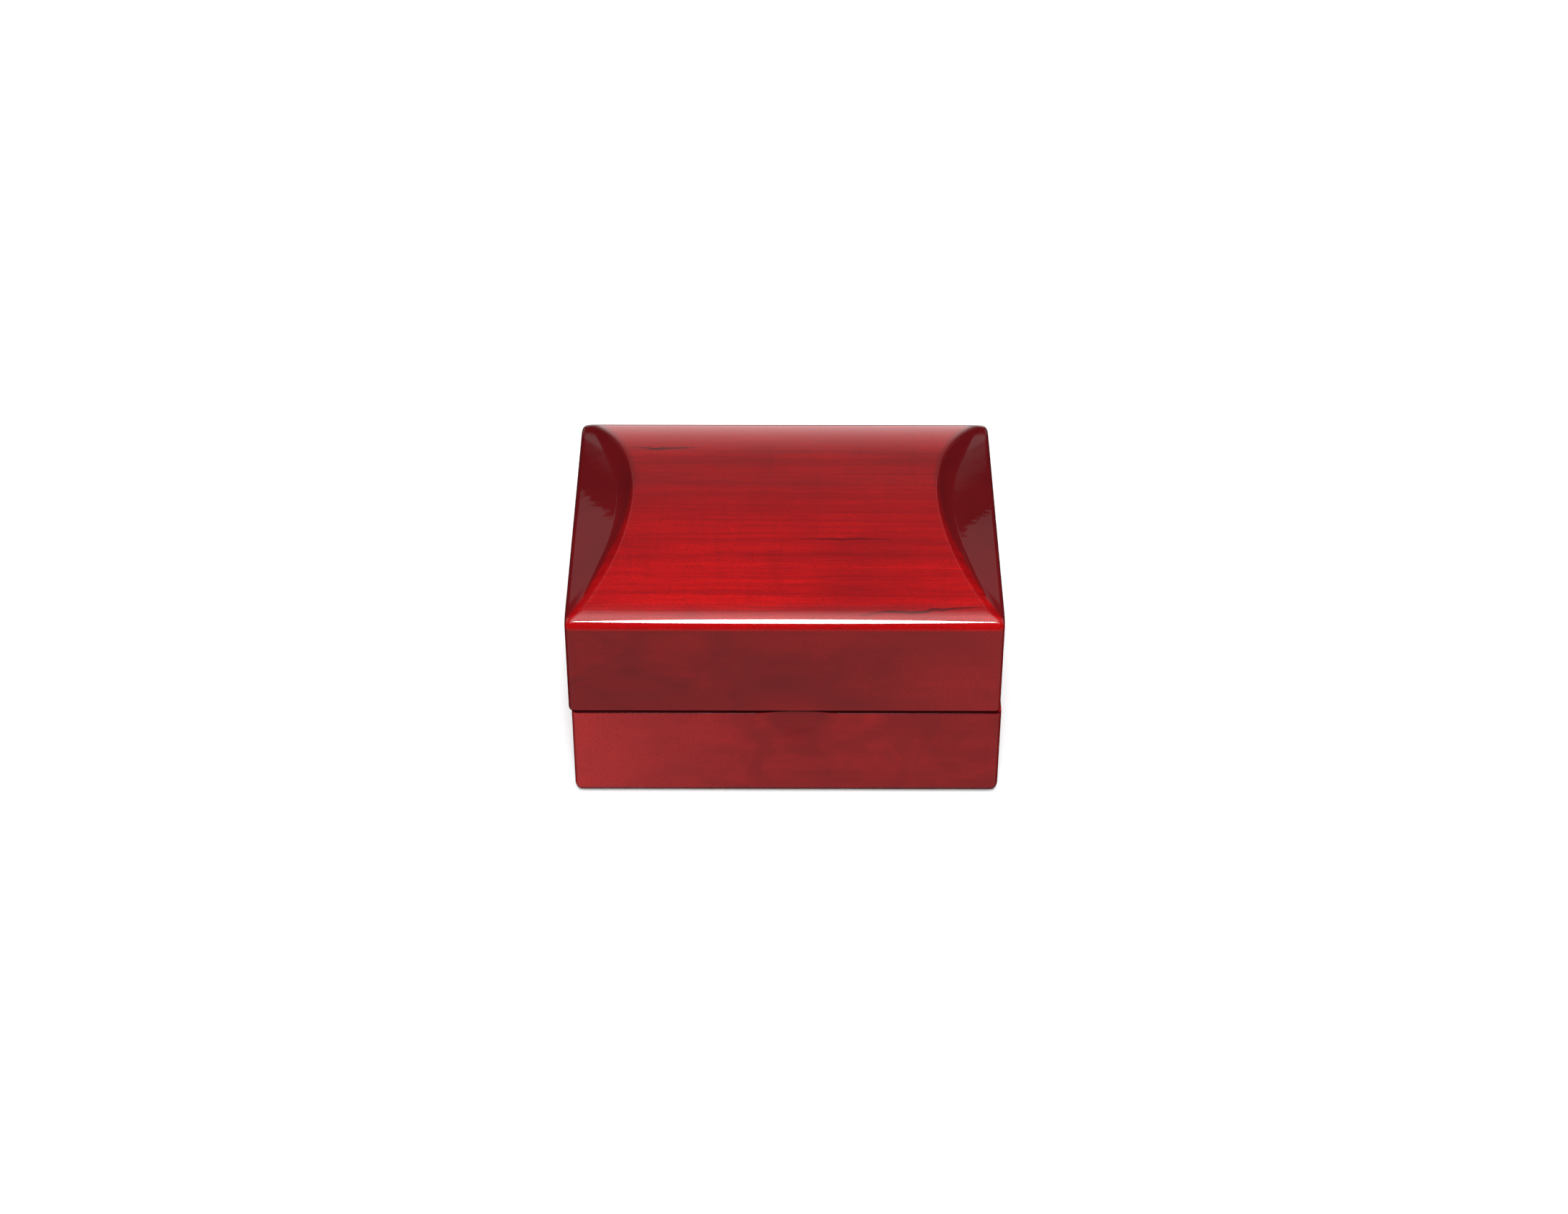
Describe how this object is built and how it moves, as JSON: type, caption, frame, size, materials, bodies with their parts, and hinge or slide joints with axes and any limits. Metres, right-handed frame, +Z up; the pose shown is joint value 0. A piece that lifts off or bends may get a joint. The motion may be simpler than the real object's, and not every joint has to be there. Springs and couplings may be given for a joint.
{
  "type": "ring box",
  "caption": "Small lacquered red wood ring box: hinged barrel-vault lid with scooped ends, lined inside, with slit ring cushions in the base.",
  "frame": {"origin": "middle of the footprint, on the surface the box stands on", "axes": "+X to the box's right, +Y to its back, +Z up; the front with the finger scoop faces -Y"},
  "size_m": [0.0642, 0.0512, 0.0375],
  "materials": {
    "lacquered_wood": "high gloss lacquer",
    "lining_fabric": "velvet",
    "cushion_velvet": "velvet",
    "pad_satin": "satin",
    "card_board": "grey board",
    "hinge_brass": "polished",
    "screw_brass": "polished",
    "foot_felt": "felt"
  },
  "bodies": {
    "base": {"base_shell": "lacquered_wood", "base_liner_front": "lining_fabric", "base_liner_back": "lining_fabric", "base_liner_left": "lining_fabric", "base_liner_right": "lining_fabric", "pad_board": "card_board", "ring_pad_front": "cushion_velvet", "ring_pad_rear": "cushion_velvet", "hinge_leaf_base": "hinge_brass", "hinge_pin": "hinge_brass", "base_hinge_screws": "screw_brass", "base_felt": "foot_felt"},
    "lid": {"lid_shell": "lacquered_wood", "lid_liner_front": "lining_fabric", "lid_liner_back": "lining_fabric", "lid_liner_left": "lining_fabric", "lid_liner_right": "lining_fabric", "lid_pad_board": "card_board", "lid_pad": "pad_satin", "hinge_leaf_lid": "hinge_brass", "lid_hinge_screws": "screw_brass"}
  },
  "joints": [
    {"name": "lid_hinge", "type": "hinge", "parent": "base", "child": "lid", "pos_m": [0, 0.0236, 0.016], "axis": [-1, 0, 0], "range_deg": [0, 95]}
  ]
}
